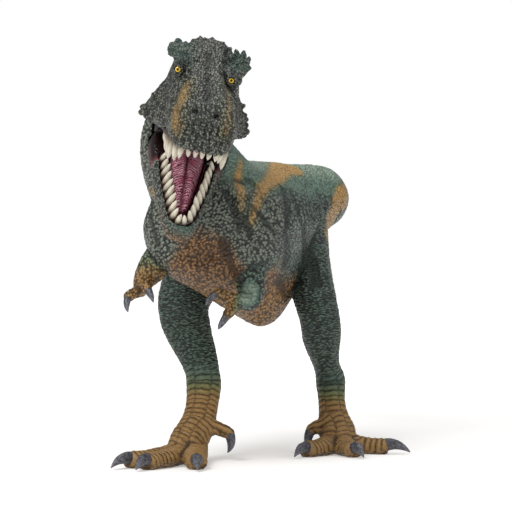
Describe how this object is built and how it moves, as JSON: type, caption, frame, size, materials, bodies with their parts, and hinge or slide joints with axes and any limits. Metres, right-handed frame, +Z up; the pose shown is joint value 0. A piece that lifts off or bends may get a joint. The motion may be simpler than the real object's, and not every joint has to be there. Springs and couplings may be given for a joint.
{
  "type": "toy dinosaur figure",
  "caption": "Free-standing toy theropod dinosaur with toothed gum strips, a tongue and a lower jaw that swings on a hinge pin.",
  "frame": {"origin": "middle of the bounding box, on the ground that the soles stand on", "axes": "+Z up, -Y the way the figure faces, +Y towards the tail, +X towards the figure's left side"},
  "size_m": [0.1022, 0.2754, 0.1402],
  "materials": {
    "body_skin": "solid moulded PVC, hand painted green-grey with ochre stripes, satin",
    "leg_skin": "solid moulded PVC, painted dark green that fades to ochre at the feet, satin",
    "arm_skin": "solid moulded PVC, painted ochre with slate claws, satin",
    "head_skin": "solid moulded PVC, painted dark grey-green, satin",
    "tooth": "moulded PVC, painted bone",
    "tongue": "moulded PVC, painted dark pink with a wash in its groove",
    "pin": "plain wire, hidden in the hinge"
  },
  "bodies": {
    "figure": {"torso": "body_skin", "tail": "body_skin", "right_leg": "leg_skin", "left_leg": "leg_skin", "right_arm": "arm_skin", "left_arm": "arm_skin", "skull": "head_skin", "upper_teeth": "tooth", "jaw_pin": "pin"},
    "jaw": {"lower_jaw": "head_skin", "lower_teeth": "tooth", "tongue": "tongue"}
  },
  "joints": [
    {"name": "jaw_hinge", "type": "hinge", "parent": "figure", "child": "jaw", "pos_m": [-0.02452, -0.08655, 0.112], "axis": [-0.9729, -0.1233, 0.1957], "range_deg": [0, 22]}
  ]
}
